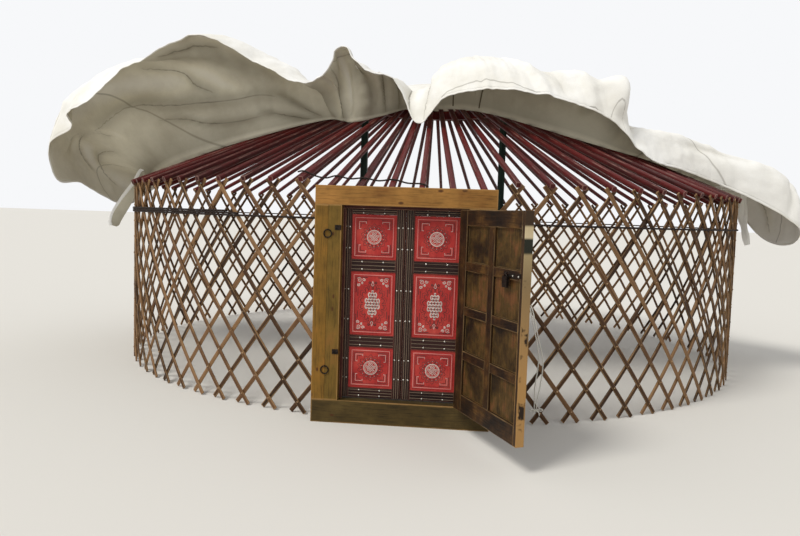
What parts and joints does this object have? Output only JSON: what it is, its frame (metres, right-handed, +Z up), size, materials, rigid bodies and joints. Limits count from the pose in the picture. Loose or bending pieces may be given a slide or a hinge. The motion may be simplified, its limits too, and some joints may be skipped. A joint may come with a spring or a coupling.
{
  "type": "yurt",
  "caption": "Round lattice yurt frame with roof poles, crown, two posts, a double door and a cloth cover drawn across its crown.",
  "frame": {"origin": "middle of the threshold's underside, on the ground, on the circle of the wall", "axes": "+X to the right seen from outside, +Y through the door into the tent, +Z up"},
  "size_m": [6.9895, 6.7508, 2.7764],
  "materials": {
    "lath_wood": "weathered bare willow",
    "painted_pole": "worn dark red paint",
    "painted_crown": "worn dark red paint",
    "painted_post": "dark green paint",
    "frame_timber": "weathered ochre stain",
    "lintel_timber": "oiled pine",
    "stop_paint": "dark red paint",
    "inner_stile_paint": "dark paint with fine lines",
    "red_panel_paint": "red oil paint with ornament",
    "outer_leaf_wood": "weathered brown varnish",
    "iron": "hand-forged",
    "hair_rope": "twisted hair",
    "white_rope": "twisted cotton",
    "cover_cloth": "off-white cotton canvas"
  },
  "bodies": {
    "tent_frame": {"wall_lattice_1": "lath_wood", "wall_lattice_2": "lath_wood", "wall_lattice_3": "lath_wood", "wall_lattice_4": "lath_wood", "wall_lattice_5": "lath_wood", "wall_lattice_6": "lath_wood", "wall_lattice_7": "lath_wood", "wall_lattice_8": "lath_wood", "wall_lattice_9": "lath_wood", "wall_lattice_10": "lath_wood", "wall_lattice_11": "lath_wood", "wall_lattice_12": "lath_wood", "wall_lattice_13": "lath_wood", "wall_lattice_14": "lath_wood", "wall_lattice_15": "lath_wood", "roof_poles_1": "painted_pole", "roof_poles_2": "painted_pole", "roof_poles_3": "painted_pole", "roof_poles_4": "painted_pole", "roof_poles_5": "painted_pole", "roof_poles_door": "painted_pole", "crown_rim": "painted_crown", "crown_bows": "painted_crown", "crown_posts": "painted_post", "threshold": "frame_timber", "left_jamb": "frame_timber", "right_jamb": "frame_timber", "lintel": "lintel_timber", "door_stop": "stop_paint", "hinge_pins": "iron", "jamb_rings": "iron", "hair_ropes": "hair_rope", "tie_rope": "white_rope", "tie_rope_bow": "white_rope", "roof_cover": "cover_cloth"},
    "inner_left_leaf": {"inner_left_frame": "inner_stile_paint", "inner_left_panels": "red_panel_paint", "inner_left_hinges": "iron"},
    "inner_right_leaf": {"inner_right_frame": "inner_stile_paint", "inner_right_panels": "red_panel_paint", "inner_right_hinges": "iron"},
    "outer_leaf": {"outer_leaf_frame": "outer_leaf_wood", "outer_leaf_panels": "outer_leaf_wood", "outer_leaf_hinges": "iron", "outer_leaf_hasp": "iron"}
  },
  "joints": [
    {"name": "inner_left_swing", "type": "hinge", "parent": "tent_frame", "child": "inner_left_leaf", "pos_m": [-0.3957, 0.0456, 0.159], "axis": [0, 0, 1], "range_deg": [0, 90]},
    {"name": "inner_right_swing", "type": "hinge", "parent": "tent_frame", "child": "inner_right_leaf", "pos_m": [0.3957, 0.0456, 0.159], "axis": [0, 0, -1], "range_deg": [0, 90]},
    {"name": "outer_swing", "type": "hinge", "parent": "tent_frame", "child": "outer_leaf", "pos_m": [0.406, -0.0923, 0.159], "axis": [0, 0, 1], "range_deg": [-115.5, 54.5]}
  ]
}
